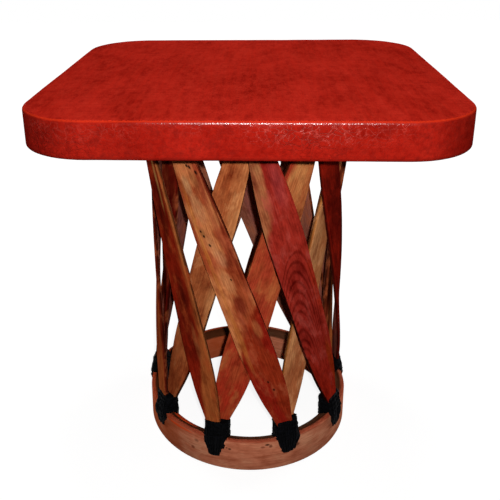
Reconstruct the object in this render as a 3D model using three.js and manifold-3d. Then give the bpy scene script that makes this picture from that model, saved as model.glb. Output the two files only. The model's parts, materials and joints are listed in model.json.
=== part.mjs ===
// Mexican equipale table: a square leather-covered top on a round basket base of crossed cedar slats.
// Each slat is flat against the lower hoop at its foot and against the upper hoop at its head, and the two
// ends lie more than an eighth of a turn apart, so the slat twists on its way up. Outer slats lean one way,
// inner slats the other way, and a lashing laced through the hoop ties one of each at every bore.
// Millimetres, +Z up, origin on the floor under the middle of the top. Turns round the base are in degrees,
// counted from the front (-Y) and positive towards +X.

import * as THREE from 'three';
import { mergeVertices } from 'three/addons/utils/BufferGeometryUtils.js';
import Module from 'manifold-3d';

const wasm = await Module();
wasm.setup();

// Clearances
const fit = 0.3; // between two pieces that touch
const cutOverrun = 20; // how far a cutting tool runs past what it cuts

// Top
const tableHeight = 750;
const topWidth = 700; // along X
const topDepth = 700; // along Y
const cornerRadius = 117; // of the top, seen from above
const apronHeight = 60;
const leatherThickness = 2.2;
const leatherEdgeRadius = 5; // where the leather turns down from the top to the apron
const hemWidth = 15; // leather turned under the apron
const boardThickness = 18;
const boardCount = 5;
const railWidth = 22;
const railArrisWidth = 4; // chamfer along the rail's lower inner edge
const tenonLength = 24;
const tenonThickness = 8;
const tenonHeight = 20;
const battenWidth = 60;
const battenThickness = 20;
const battenArrisWidth = 5;
const battenSpacing = 240; // between the two centre lines

// Hoops
const hoopOuterRadius = 211;
const hoopWall = 27;
const lowerHoopHeight = 69.5;
const upperHoopHeight = 35;
const hoopShoulder = 4; // radius of the lower hoop's outer top edge
const hoopBevelWidth = 20; // of the bevel that falls to the inside
const hoopBevelDrop = 9.5;
const hoopArrisWidth = 2;

// Slats
const slatWidth = 64;
const slatThickness = 9;
const slatArrisWidth = 1.4;
const slatSetback = 2.2; // outer slats, in from the hoop's outer face
const layerGap = 2.8; // between outer and inner slats where they are tied
const crossingGap = 3.2; // between outer and inner slats where they cross
const slatFootWidth = 18;
const slatHeadWidth = 40;
const footTaperLength = 145;
const headTaperLength = 180;
const footOffset = 2.5; // along the hoop, from the middle of the lashing to the foot's middle
const headOffset = 12; // along the hoop, from the middle of the lashing to the head's middle

// Lashings
const boreDiameter = 12;
const lowerBoreDepth = 24; // from the hoop's edge to the bore's axis
const upperBoreDepth = 18;
const lashingHalfWidth = 23;
const lashingThickness = 4.5; // over the wood that it wraps
const lashingTail = 4; // past the bore
const lowerLashingReach = 34; // from the hoop's edge along the slats
const upperLashingReach = 26;
const strandRelief = 0.7; // how far the strands stand out and in

// Turning round the base, in degrees
const fullTurn = 360;
const lowerTieCount = 9;
const upperTieCount = 10;
const firstLowerAngle = -16.5;
const firstUpperAngle = 2;
const slatSweepAngle = 51; // from a slat's foot to the place that it aims its head at

// Where hand work departs from an even spacing, as shares of the pitch, one for each tie
const lowerDriftShares = [0, 0, -0.08, 0.03, -0.1, 0.05, 0, -0.03, 0];
const upperDriftShares = [0, 0, -0.09, -0.34, -0.4, -0.52, -0.2, -0.36, -0.03, -0.14];

// Width of each slat as a share of slatWidth, in the order of the ties at their feet
const outerWidthShares = [0.85, 1.01, 1.1, 0.86, 1, 0.95, 0.95, 1, 0.82];
const innerWidthShares = [1.05, 0.83, 0.95, 0.95, 1.02, 0.95, 1, 0.84, 0.95];

// Length of each lower lashing's tail as a share of lashingTail
const tailShares = [2.8, 1, 1.6, 1, 1.3, 1, 1.8, 1, 1.5];

// A lashing seen from its bore towards the slats: height, half width, and how far it covers the wood
// outside and inside, each as a share of the lashing's own sizes
const lashingShares = [
  { level: 'tip', along: 1, half: 0.3, cover: 0.5 },
  { level: 'bore', along: 1, half: 0.55, cover: 0.9 },
  { level: 'edge', along: 0, half: 1, cover: 1.1 },
  { level: 'reach', along: 0.5, half: 1.08, cover: 1 },
  { level: 'reach', along: 1, half: 1.08, cover: 0.6 },
];
const lashingSquareness = 0.55; // 1 would be an ellipse, 0 a rectangle

// Wood tone of each slat, in the order of the ties at their feet
const outerTones = ['brown', 'tan', 'red', 'red', 'tan', 'brown', 'red', 'red', 'brown'];
const innerTones = ['red', 'tan', 'brown', 'tan', 'red', 'tan', 'brown', 'red', 'tan'];

// How a slat widens along its taper, and how fast the layers part above a tie
const taperPower = 1.35;
const partingPower = 4;
const tangentShare = 0.01; // half the stretch over which a slat's direction is taken
const slatSteps = 9;
const cornerSteps = 5;
const hoopSteps = 45;
const boreSteps = 6;
const lowerLashingSides = 10;
const upperLashingSides = 8;
const edgeSteps = 2;

// Heights that follow from the sizes above
const frameInset = leatherThickness + fit;
const boardTop = tableHeight - frameInset;
const boardBottom = boardTop - boardThickness;
const railTop = boardBottom - fit;
const apronBottom = tableHeight - apronHeight;
const railBottom = apronBottom + frameInset;
const battenBottom = railTop - battenThickness;
const upperHoopTop = battenBottom - fit;
const upperHoopBottom = upperHoopTop - upperHoopHeight;
const slatHead = upperHoopBottom - fit;
const slatRise = slatHead - lowerHoopHeight;

// Radii that follow from the sizes above
const hoopInnerRadius = hoopOuterRadius - hoopWall;
const outerSlatRadius = hoopOuterRadius - slatSetback - slatThickness / 2;
const boreRadius = boreDiameter / 2;

// A flat slat stands off a round waist at its edges, so the layers step further apart where they cross
const halfTurn = THREE.MathUtils.degToRad(slatSweepAngle) / 2;
const waistRadius = outerSlatRadius * Math.cos(halfTurn);
const widestShare = Math.max(...outerWidthShares, ...innerWidthShares);
const slatLean = Math.atan2(2 * outerSlatRadius * Math.sin(halfTurn), slatRise);
const widestHalf = (slatWidth * widestShare) / 2 / Math.cos(slatLean);
const waistSagitta = waistRadius - Math.sqrt(Math.max(waistRadius ** 2 - widestHalf ** 2, 0));
const endStep = slatThickness + layerGap;
const waistStep = Math.max(slatThickness + waistSagitta + crossingGap, endStep);

// A three.js geometry as a manifold-3d solid
function solidOf(geometry) {
  const bare = geometry.clone();
  bare.deleteAttribute('normal');
  bare.deleteAttribute('uv');
  const welded = mergeVertices(bare);
  return new wasm.Manifold(new wasm.Mesh({
    numProp: 3,
    vertProperties: Float32Array.from(welded.attributes.position.array),
    triVerts: Uint32Array.from(welded.index.array),
  }));
}

// A manifold-3d solid as a three.js geometry
function geometryOf(solid) {
  const mesh = solid.getMesh();
  const geometry = new THREE.BufferGeometry();
  geometry.setAttribute('position', new THREE.BufferAttribute(mesh.vertProperties, mesh.numProp));
  geometry.setIndex(new THREE.BufferAttribute(mesh.triVerts, 1));
  geometry.computeVertexNormals();
  return geometry;
}

// A closed skin over loops of points that lie above each other, each loop counterclockwise from above
function loft(loops) {
  const size = loops[0].length;
  const points = loops.flat();
  const first = points.length;
  const middles = [loops[0], loops[loops.length - 1]].map((loop) => (
    loop.reduce((sum, point) => sum.add(point), new THREE.Vector3()).divideScalar(size)
  ));
  points.push(...middles);
  const faces = [];
  for (let step = 0; step < loops.length - 1; step += 1) {
    for (let side = 0; side < size; side += 1) {
      const here = step * size + side;
      const next = step * size + ((side + 1) % size);
      faces.push(here, next, next + size, here, next + size, here + size);
    }
  }
  const top = (loops.length - 1) * size;
  for (let side = 0; side < size; side += 1) {
    const next = (side + 1) % size;
    faces.push(next, side, first, top + side, top + next, first + 1);
  }
  const geometry = new THREE.BufferGeometry().setFromPoints(points);
  geometry.setIndex(faces);
  return solidOf(geometry);
}

// A straight bar of the given section, which is drawn in X and Z and runs along Y
function barAlongY(section, length) {
  const geometry = new THREE.ExtrudeGeometry(section, { depth: length, bevelEnabled: false });
  geometry.rotateX(Math.PI / 2);
  geometry.translate(0, length / 2, 0);
  return solidOf(geometry);
}

// A box between two heights, centred on X and Y
function boxBetween(width, depth, low, high) {
  const geometry = new THREE.BoxGeometry(width, depth, high - low);
  geometry.translate(0, 0, (low + high) / 2);
  return solidOf(geometry);
}

function turnedAboutZ(solid, degrees) {
  return solid.rotate([0, 0, degrees]);
}

// The outline of the top, drawn in by the inset
function topOutline(inset) {
  const halfX = topWidth / 2 - inset;
  const halfY = topDepth / 2 - inset;
  const radius = Math.max(cornerRadius - inset, fit);
  const outline = new THREE.Shape();
  outline.absarc(halfX - radius, halfY - radius, radius, 0, Math.PI / 2);
  outline.absarc(radius - halfX, halfY - radius, radius, Math.PI / 2, Math.PI);
  outline.absarc(radius - halfX, radius - halfY, radius, Math.PI, 1.5 * Math.PI);
  outline.absarc(halfX - radius, radius - halfY, radius, 1.5 * Math.PI, 2 * Math.PI);
  outline.closePath();
  return outline;
}

// A slab of that outline between two heights, with its edges rounded
function topSlab(inset, low, high, edge) {
  const geometry = new THREE.ExtrudeGeometry(topOutline(inset), {
    depth: high - low - 2 * edge,
    curveSegments: cornerSteps,
    bevelEnabled: edge > 0,
    bevelThickness: edge,
    bevelSize: edge,
    bevelOffset: -edge,
    bevelSegments: edgeSteps,
  });
  geometry.translate(0, 0, low + edge);
  return solidOf(geometry);
}

// One hide drawn over the top, down the apron and under it. The hollow holds the boards and the apron frame.
function leatherCover() {
  const upper = topSlab(0, apronBottom + leatherThickness, tableHeight, leatherEdgeRadius);
  const lower = topSlab(0, apronBottom, tableHeight - leatherEdgeRadius, leatherThickness);
  const innerEdge = Math.max(leatherEdgeRadius - leatherThickness, 0);
  const hollowLow = apronBottom + leatherThickness;
  const hollowHigh = tableHeight - leatherThickness;
  const hollow = topSlab(leatherThickness, hollowLow, hollowHigh, innerEdge)
    .add(topSlab(leatherThickness, hollowLow, hollowHigh - 2 * innerEdge, 0));
  const mouth = topSlab(hemWidth, apronBottom - cutOverrun, hollowLow + innerEdge, 0);
  return upper.add(lower).subtract(hollow).subtract(mouth);
}

// The boards are one rounded panel, sawn into strips along X
function topBoards() {
  const edge = Math.max(leatherEdgeRadius - frameInset, 0);
  const panel = topSlab(frameInset, boardBottom, boardTop, edge);
  const pitch = (topDepth - 2 * frameInset) / boardCount;
  const boards = [];
  for (let index = 0; index < boardCount; index += 1) {
    const middle = (index - (boardCount - 1) / 2) * pitch;
    const strip = boxBetween(topWidth, pitch - fit, boardBottom - cutOverrun, boardTop + cutOverrun);
    boards.push(panel.intersect(strip.translate([0, middle, 0])));
  }
  return boards;
}

// The tenon at a rail's two ends, or the mortise for it when grown by the fit
function tenonBar(length, grow) {
  const middle = (railTop + railBottom) / 2;
  const half = tenonHeight / 2 + grow;
  const thickness = tenonThickness + 2 * grow;
  return boxBetween(thickness, length + 2 * (tenonLength + grow), middle - half, middle + half);
}

// A rail of the apron frame, on the +X side, between two corner blocks
function apronRail(acrossHalf, alongHalf) {
  const length = 2 * (alongHalf - cornerRadius - fit);
  const outer = railWidth / 2;
  const section = new THREE.Shape();
  section.moveTo(outer, railBottom);
  section.lineTo(outer, railTop);
  section.lineTo(-outer, railTop);
  section.lineTo(-outer, railBottom + railArrisWidth);
  section.lineTo(-outer + railArrisWidth, railBottom);
  section.closePath();
  const place = acrossHalf - frameInset - outer;
  return barAlongY(section, length).add(tenonBar(length, 0)).translate([place, 0, 0]);
}

// The block behind a round corner, at +X and +Y. Its outside is an arc and its inside a straight brace.
function cornerBlock(halfX, halfY) {
  const outer = cornerRadius - frameInset;
  const inner = outer - railWidth;
  const section = new THREE.Shape();
  section.absarc(0, 0, outer, 0, Math.PI / 2);
  section.lineTo(0, inner);
  section.lineTo(inner, 0);
  section.closePath();
  const geometry = new THREE.ExtrudeGeometry(section, {
    depth: railTop - railBottom,
    curveSegments: cornerSteps,
    bevelEnabled: false,
  });
  geometry.translate(halfX - cornerRadius, halfY - cornerRadius, railBottom);
  const across = frameInset + railWidth / 2;
  const alongY = tenonBar(2 * (halfY - cornerRadius), fit).translate([halfX - across, 0, 0]);
  const alongX = turnedAboutZ(tenonBar(2 * (halfX - cornerRadius), fit), 90).translate([0, halfY - across, 0]);
  return solidOf(geometry).subtract(alongY).subtract(alongX);
}

// A batten under the boards, from the front rail to the back rail
function batten(place) {
  const outer = battenWidth / 2;
  const section = new THREE.Shape();
  section.moveTo(outer, battenBottom + battenArrisWidth);
  section.lineTo(outer, railTop);
  section.lineTo(-outer, railTop);
  section.lineTo(-outer, battenBottom + battenArrisWidth);
  section.lineTo(-outer + battenArrisWidth, battenBottom);
  section.lineTo(outer - battenArrisWidth, battenBottom);
  section.closePath();
  const length = topDepth - 2 * (frameInset + railWidth + fit);
  return barAlongY(section, length).translate([place, 0, 0]);
}

// A ring turned from a closed profile of radius and height
function ring(profile) {
  const closed = [...profile, profile[0]];
  return solidOf(new THREE.LatheGeometry(closed.map(([radius, height]) => (
    new THREE.Vector2(radius, height)
  )), hoopSteps).rotateX(Math.PI / 2));
}

// The floor hoop: a rounded shoulder outside, a bevel that falls to the inside, small arrises below
function lowerHoopRing(grow) {
  const outer = hoopOuterRadius + grow;
  const inner = hoopInnerRadius - grow;
  const top = lowerHoopHeight + grow;
  const shoulder = [];
  for (let step = 0; step <= edgeSteps; step += 1) {
    const angle = (step / edgeSteps) * (Math.PI / 2);
    shoulder.push([
      outer - hoopShoulder + hoopShoulder * Math.cos(angle),
      top - hoopShoulder + hoopShoulder * Math.sin(angle),
    ]);
  }
  return ring([
    [inner + hoopArrisWidth, -grow],
    [outer - hoopArrisWidth, -grow],
    [outer, hoopArrisWidth - grow],
    ...shoulder,
    [inner + hoopBevelWidth, top],
    [inner, top - hoopBevelDrop],
    [inner, hoopArrisWidth - grow],
  ]);
}

// What the slats' feet are cut by: the hoop's top and bevel, run out past its outer face
function footCutter() {
  const outer = hoopOuterRadius + cutOverrun;
  const inner = hoopInnerRadius - fit;
  const top = lowerHoopHeight + fit;
  return ring([
    [inner, 0],
    [outer, 0],
    [outer, top],
    [inner + hoopBevelWidth, top],
    [inner, top - hoopBevelDrop],
  ]);
}

// The upper hoop: a plain band with small arrises
function upperHoopRing(grow) {
  const outer = hoopOuterRadius + grow;
  const inner = hoopInnerRadius - grow;
  const low = upperHoopBottom - grow;
  const high = upperHoopTop + grow;
  return ring([
    [inner + hoopArrisWidth, low],
    [outer - hoopArrisWidth, low],
    [outer, low + hoopArrisWidth],
    [outer, high - hoopArrisWidth],
    [outer - hoopArrisWidth, high],
    [inner + hoopArrisWidth, high],
    [inner, high - hoopArrisWidth],
    [inner, low + hoopArrisWidth],
  ]);
}

// The lacing bore of one tie: a rod along Y through the hoop wall at the front, turned to the tie
function boreRod(turn, height, radius) {
  const length = hoopWall + 2 * cutOverrun;
  const geometry = new THREE.CylinderGeometry(radius, radius, length, boreSteps);
  geometry.translate(0, (length - hoopWall) / 2 - cutOverrun + hoopWall / 2 - hoopOuterRadius, height);
  return turnedAboutZ(solidOf(geometry), turn);
}

function bored(hoop, turns, height) {
  return turns.reduce((left, turn) => left.subtract(boreRod(turn, height, boreRadius)), hoop);
}

function around(turn, radius, height) {
  const angle = THREE.MathUtils.degToRad(turn);
  return new THREE.Vector3(radius * Math.sin(angle), -radius * Math.cos(angle), height);
}

// The share of a taper's widening that is reached at a distance from the end
function taperShare(distance, length) {
  const left = THREE.MathUtils.clamp(1 - distance / length, 0, 1);
  return 1 - left ** taperPower;
}

// The middle of a slat at a share of its rise. Outer slats are straight, so they draw in towards the waist
// as the chords of a circle do, and the inner slats follow them one step further in.
function slatMiddle(slat, share) {
  const half = THREE.MathUtils.degToRad(slat.headTurn - slat.footTurn) / 2;
  const swing = Math.atan((2 * share - 1) * Math.tan(half));
  const turn = (slat.footTurn + slat.headTurn) / 2 + THREE.MathUtils.radToDeg(swing);
  const middleShare = 4 * share * (1 - share);
  const chordRadius = outerSlatRadius * Math.sqrt(1 - middleShare * Math.sin(halfTurn) ** 2);
  const within = THREE.MathUtils.clamp(share, 0, 1);
  const parting = 1 - (2 * within - 1) ** partingPower;
  const step = slat.layer === 'inner' ? THREE.MathUtils.lerp(endStep, waistStep, parting) : 0;
  return { turn, point: around(turn, chordRadius - step, lowerHoopHeight + share * slatRise) };
}

function slatHalfWidth(slat, share) {
  const within = THREE.MathUtils.clamp(share, 0, 1);
  const length = slatMiddle(slat, 0).point.distanceTo(slatMiddle(slat, 1).point);
  const foot = taperShare(within * length, footTaperLength);
  const head = taperShare((1 - within) * length, headTaperLength);
  const fromFoot = THREE.MathUtils.lerp(slatFootWidth, slat.width, foot);
  const fromHead = THREE.MathUtils.lerp(slatHeadWidth, slat.width, head);
  return Math.min(fromFoot, fromHead) / 2;
}

// A slat from its foot to its head. Its flat always faces straight out from the middle of the base, so it
// twists as it goes round. The foot runs on below the hoop's top, for the hoop to cut it to its bevel.
function slatStrip(slat, grow) {
  const lowest = -(hoopBevelDrop + grow) / slatRise;
  const highest = 1 + grow / slatRise;
  const loops = [];
  for (let step = 0; step <= slatSteps; step += 1) {
    const even = step / slatSteps;
    const eased = (1 - Math.cos(even * Math.PI)) / 2;
    const share = THREE.MathUtils.lerp(lowest, highest, (eased + even) / 2);
    const { turn, point: middle } = slatMiddle(slat, share);
    const along = slatMiddle(slat, share + tangentShare).point
      .sub(slatMiddle(slat, share - tangentShare).point).normalize();
    const outward = around(turn, 1, 0).projectOnPlane(along).normalize();
    const sideways = new THREE.Vector3().crossVectors(along, outward);
    const halfWidth = slatHalfWidth(slat, share) + grow;
    const halfThick = slatThickness / 2 + grow;
    const corners = [
      [halfWidth, slatArrisWidth - halfThick], [halfWidth - slatArrisWidth, -halfThick],
      [slatArrisWidth - halfWidth, -halfThick], [-halfWidth, slatArrisWidth - halfThick],
      [-halfWidth, halfThick - slatArrisWidth], [slatArrisWidth - halfWidth, halfThick],
      [halfWidth - slatArrisWidth, halfThick], [halfWidth, halfThick - slatArrisWidth],
    ];
    loops.push(corners.map(([across, out]) => {
      const corner = new THREE.Vector3().addScaledVector(sideways, across).addScaledVector(outward, out);
      return corner.addScaledVector(along, -corner.z / along.z).add(middle);
    }));
  }
  return loft(loops);
}

function lowerTurn(tie) {
  return firstLowerAngle + ((tie + lowerDriftShares[tie % lowerDriftShares.length]) * fullTurn) / lowerTieCount;
}

function upperTurn(tie) {
  return firstUpperAngle + ((tie + upperDriftShares[tie % upperDriftShares.length]) * fullTurn) / upperTieCount;
}

// The way round from one turn to another, between half a turn back and half a turn on
function turnBetween(from, to) {
  return THREE.MathUtils.euclideanModulo(to - from + fullTurn / 2, fullTurn) - fullTurn / 2;
}

// The upper tie that lies nearest to a turn
function nearestUpperTie(turn) {
  let nearest = 0;
  for (let tie = 1; tie < upperTieCount; tie += 1) {
    if (Math.abs(turnBetween(turn, upperTurn(tie))) < Math.abs(turnBetween(turn, upperTurn(nearest)))) {
      nearest = tie;
    }
  }
  return nearest;
}

// The two slats that leave each lower tie, each with the upper tie that it reaches
function slatPlaces() {
  const footShift = THREE.MathUtils.radToDeg(footOffset / hoopOuterRadius);
  const headShift = THREE.MathUtils.radToDeg(headOffset / hoopOuterRadius);
  const layers = [
    { layer: 'outer', way: -1, widths: outerWidthShares, tones: outerTones },
    { layer: 'inner', way: 1, widths: innerWidthShares, tones: innerTones },
  ];
  const places = [];
  for (let tie = 0; tie < lowerTieCount; tie += 1) {
    layers.forEach(({ layer, way, widths, tones }) => {
      const lower = lowerTurn(tie);
      const headTie = nearestUpperTie(lower + way * slatSweepAngle);
      places.push({
        layer,
        tie,
        headTie,
        width: slatWidth * widths[tie % widths.length],
        tone: tones[tie % tones.length],
        footTurn: lower - way * footShift,
        headTurn: lower + turnBetween(lower, upperTurn(headTie)) - way * headShift,
      });
    });
  }
  return places;
}

// The block of leather round one tie, before the wood is taken out of it. Its face is fluted by the strands,
// which fan out from the bore. The side is 1 where the slats stand above the hoop, -1 where they hang below.
function lashingBlock(lashing) {
  const levels = lashingShares.map((share) => {
    const heights = {
      tip: -(lashing.boreDepth + boreRadius + lashing.tail),
      bore: -lashing.boreDepth,
      edge: 0,
      reach: lashing.reach,
    };
    const rise = heights[share.level] * share.along;
    const lean = Math.max(rise, 0) * ((outerSlatRadius - waistRadius) * 2) / slatRise;
    const inward = rise > 0 ? hoopOuterRadius - outerSlatRadius - slatThickness / 2 : 0;
    const outer = hoopOuterRadius - inward - lean + lashingThickness * share.cover;
    const inner = hoopInnerRadius - lean - lashingThickness * share.cover;
    return { rise, outer, inner, half: lashingHalfWidth * share.half };
  });
  const loops = levels.map(({ rise, outer, inner, half }) => {
    const loop = [];
    for (let side = 0; side < lashing.sides; side += 1) {
      const angle = ((side + 0.5) / lashing.sides) * 2 * Math.PI;
      const flat = (value) => Math.sign(value) * Math.abs(value) ** lashingSquareness;
      const relief = side % 2 === 0 ? strandRelief : -strandRelief;
      const across = (half + relief) * flat(Math.cos(angle));
      const out = ((outer - inner) / 2 + relief) * flat(Math.sin(angle));
      loop.push(new THREE.Vector3(across, -(outer + inner) / 2 + out, lashing.edge + lashing.side * rise));
    }
    return loop;
  });
  if (lashing.side < 0) {
    loops.reverse();
  }
  return turnedAboutZ(loft(loops), lashing.turn);
}

// The lashing passes through the bore and closes over the hoop's edge and the ends of its two slats
function lashingWrap(lashing, hoopHollow, slatHollows) {
  const height = lashing.edge - lashing.side * lashing.boreDepth;
  const lace = boreRod(lashing.turn, height, boreRadius - fit);
  const wood = slatHollows.reduce((sum, slat) => sum.add(slat), hoopHollow.subtract(lace));
  return lashingBlock(lashing).subtract(wood);
}

const leather = { color: 0xa51c14, roughness: 0.42 };
const lacing = { color: 0x0c0c0e, roughness: 0.55 };
const pine = { color: 0xc39a63, roughness: 0.75 };
const hoopWood = { color: 0x8d4a30, roughness: 0.6 };
const cedar = {
  tan: { color: 0xa9652f, roughness: 0.6 },
  red: { color: 0x7c1e17, roughness: 0.55 },
  brown: { color: 0x6b2a17, roughness: 0.6 },
};

const table = new THREE.Group();

function place(name, solid, finish) {
  const mesh = new THREE.Mesh(geometryOf(solid), new THREE.MeshStandardMaterial({ ...finish, metalness: 0 }));
  mesh.name = name;
  table.add(mesh);
}

function placeTop() {
  place('leather_cover', leatherCover(), leather);
  topBoards().forEach((board, index) => place(`top_board_${index + 1}`, board, pine));
  const halfX = topWidth / 2;
  const halfY = topDepth / 2;
  ['right', 'back', 'left', 'front'].forEach((side, index) => {
    const rail = index % 2 === 0 ? apronRail(halfX, halfY) : apronRail(halfY, halfX);
    place(`apron_rail_${side}`, turnedAboutZ(rail, index * 90), pine);
  });
  ['back_right', 'back_left', 'front_left', 'front_right'].forEach((corner, index) => {
    const block = index % 2 === 0 ? cornerBlock(halfX, halfY) : cornerBlock(halfY, halfX);
    place(`corner_block_${corner}`, turnedAboutZ(block, index * 90), pine);
  });
  place('batten_left', batten(-battenSpacing / 2), pine);
  place('batten_right', batten(battenSpacing / 2), pine);
}

function placeBase() {
  const lowerTies = Array.from({ length: lowerTieCount }, (_, tie) => tie);
  const upperTies = Array.from({ length: upperTieCount }, (_, tie) => tie);
  const lowerBore = lowerHoopHeight - lowerBoreDepth;
  const upperBore = upperHoopBottom + upperBoreDepth;
  place('lower_hoop', bored(lowerHoopRing(0), lowerTies.map(lowerTurn), lowerBore), hoopWood);
  place('upper_hoop', bored(upperHoopRing(0), upperTies.map(upperTurn), upperBore), hoopWood);

  const lowerHollow = lowerHoopRing(fit);
  const upperHollow = upperHoopRing(fit);
  const slats = slatPlaces();
  const cutter = footCutter();
  slats.forEach((slat) => {
    place(`${slat.layer}_slat_${slat.tie + 1}`, slatStrip(slat, 0).subtract(cutter), cedar[slat.tone]);
  });

  lowerTies.forEach((tie) => {
    const feet = slats.filter((slat) => slat.tie === tie).map((slat) => slatStrip(slat, fit));
    const lashing = {
      turn: lowerTurn(tie),
      side: 1,
      edge: lowerHoopHeight,
      boreDepth: lowerBoreDepth,
      reach: lowerLashingReach,
      tail: lashingTail * tailShares[tie % tailShares.length],
      sides: lowerLashingSides,
    };
    place(`lower_lashing_${tie + 1}`, lashingWrap(lashing, lowerHollow, feet), lacing);
  });
  upperTies.forEach((tie) => {
    const heads = slats.filter((slat) => slat.headTie === tie).map((slat) => slatStrip(slat, fit));
    const lashing = {
      turn: upperTurn(tie),
      side: -1,
      edge: upperHoopBottom,
      boreDepth: upperBoreDepth,
      reach: upperLashingReach,
      tail: lashingTail,
      sides: upperLashingSides,
    };
    place(`upper_lashing_${tie + 1}`, lashingWrap(lashing, upperHollow, heads), lacing);
  });
}

placeTop();
placeBase();

export default table;
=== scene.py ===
# Mexican equipale table: the hide on the top, the riven cedar slats, the bent hoops, the lacing and the
# pine carcass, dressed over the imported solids. Lengths are in metres, +Z up, the front towards -Y.

import json
import random
from functools import partial
from math import atan2, copysign, cos, exp, pi, radians, sin

import bmesh
import bpy
from bpy.props import FloatProperty, FloatVectorProperty, IntProperty, PointerProperty
from mathutils import Matrix, Vector, noise
from mathutils.bvhtree import BVHTree

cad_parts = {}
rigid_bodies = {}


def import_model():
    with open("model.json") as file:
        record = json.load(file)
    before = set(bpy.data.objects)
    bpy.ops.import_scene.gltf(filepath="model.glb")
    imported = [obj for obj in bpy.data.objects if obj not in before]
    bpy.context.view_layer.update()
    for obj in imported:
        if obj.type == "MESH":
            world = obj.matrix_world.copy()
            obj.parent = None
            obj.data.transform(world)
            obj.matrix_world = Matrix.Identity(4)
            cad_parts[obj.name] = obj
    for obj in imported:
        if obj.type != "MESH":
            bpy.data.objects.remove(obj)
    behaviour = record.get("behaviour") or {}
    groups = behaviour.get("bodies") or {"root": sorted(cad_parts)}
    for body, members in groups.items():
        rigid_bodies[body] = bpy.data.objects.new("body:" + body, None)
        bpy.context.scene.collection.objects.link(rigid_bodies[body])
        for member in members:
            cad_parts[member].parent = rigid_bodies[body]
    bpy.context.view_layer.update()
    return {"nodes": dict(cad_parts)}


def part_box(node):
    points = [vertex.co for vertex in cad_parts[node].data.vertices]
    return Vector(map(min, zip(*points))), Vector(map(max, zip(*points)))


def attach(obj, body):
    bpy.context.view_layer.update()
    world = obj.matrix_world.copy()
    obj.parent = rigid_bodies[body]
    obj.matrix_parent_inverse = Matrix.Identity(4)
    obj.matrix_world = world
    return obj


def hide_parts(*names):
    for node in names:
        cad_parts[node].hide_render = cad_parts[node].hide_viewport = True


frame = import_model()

bl_info = {
    "name": "Mexican equipale table",
    "version": (1, 0, 0),
    "blender": (4, 5, 0),
    "location": "3D View > Sidebar > Equipale",
    "description": "Hide, slats, hoops, lacing, carcass and stage of a round-based leather table",
    "category": "Object",
}

MM = 0.001

# The camera, fitted to the photograph of 500 by 500 pixels
CAMERA_PLACE = Vector((0.02115, -1.30618, 1.01926))
CAMERA_PITCH = 0.366723
CAMERA_YAW = -0.063633
CAMERA_ROLL = -0.014849
SENSOR_WIDTH = 36.0
LENS = 50.727
SHIFT_X = 0.067072
SHIFT_Y = -0.126522

# The hide and the hoops, as the solids have them
CORNER_RADIUS = 117 * MM
TOP_ROUNDING = 5 * MM
HOOP_ROUNDING = 4 * MM
HOOP_ARRIS = 2 * MM
BEVEL_WIDTH = 20 * MM
BEVEL_DROP = 9.5 * MM
BEVEL_ARRIS = 1.5 * MM
HALF_HOOP = 13 * MM
LOWER_BORE_DEPTH = 24 * MM
UPPER_BORE_DEPTH = 18 * MM
BORE_RADIUS = 6 * MM
SLAT_LENGTH = 0.68

# Corners this near to a height or a radius lie on it, and corners this near to each other are one
NEAR = 0.1 * MM
AT_CORNER = 0.5 * MM
SAME_PLACE = 0.01 * MM


def nodes_called(word):
    return [name for name in frame["nodes"] if word in name]


# Nodes of the frame, by kind
COVER = "leather_cover"
LOWER_HOOP = "lower_hoop"
UPPER_HOOP = "upper_hoop"
SLATS = nodes_called("_slat_")
LOWER_LASHINGS = nodes_called("lower_lashing")
UPPER_LASHINGS = nodes_called("upper_lashing")
BOARDS = nodes_called("top_board")
RAILS_ALONG_X = ["apron_rail_front", "apron_rail_back"]
RAILS_ALONG_Y = ["apron_rail_left", "apron_rail_right", "batten_left", "batten_right"]
BLOCKS = nodes_called("corner_block")

# The tone in the record that each slat is nearest to
TONES = {}
for side, tones in (("outer", "brown tan red red tan brown red red brown"),
                    ("inner", "red tan brown tan red tan brown red tan")):
    for turn, tone in enumerate(tones.split()):
        TONES[side + "_slat_" + str(turn + 1)] = tone

# Wood tones that several slats share, as the oiled cedar shows them
TAN_SAP = "#a3672f"
ORANGE = "#a2562a"
DEEP_RED = "#741a12"
MAROON = "#5a1009"
BROWN = "#50200f"


def linear(code):
    """An sRGB hex colour as linear red, green, blue and a full alpha."""
    shares = [int(code[place:place + 2], 16) / 255 for place in (1, 3, 5)]
    curve = [share / 12.92 if share <= 0.04045 else ((share + 0.055) / 1.055) ** 2.4 for share in shares]
    return (*curve, 1.0)


# Sizes and colours that a user would change

def a_colour(name, description, code):
    return FloatVectorProperty(
        name=name, description=description, subtype="COLOR", size=4, min=0, max=1, default=linear(code))


def a_length(name, description, size):
    return FloatProperty(name=name, description=description, unit="LENGTH", default=size)


def a_power(name, description, watts):
    return FloatProperty(name=name, description=description, unit="POWER", default=watts)


class HideSettings(bpy.types.PropertyGroup):
    """The hide over the top"""
    colour: a_colour("Hide colour", "Dyed colour of the hide", "#a92016")
    # Painted highlight: a lighter orange red along the hide's rounded top edge
    edge_highlight_colour: a_colour("Edge colour", "Where the dye is rubbed along the top edge", "#b52a10")
    thickness: a_length("Hide thickness", "Thickness of the hide", 2.2 * MM)
    hem: a_length("Hem", "Hide turned under the apron", 15 * MM)
    grid: a_length("Surface grid", "Spacing of the hide's mesh", 12 * MM)
    sink: a_length("Unevenness", "How deep the hide sinks between its high places", 0.7 * MM)
    tack_spacing: a_length("Tack spacing", "Distance from tack to tack along the hem", 38 * MM)
    tack_radius: a_length("Tack radius", "Radius of a tack's head", 3.5 * MM)


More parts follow.
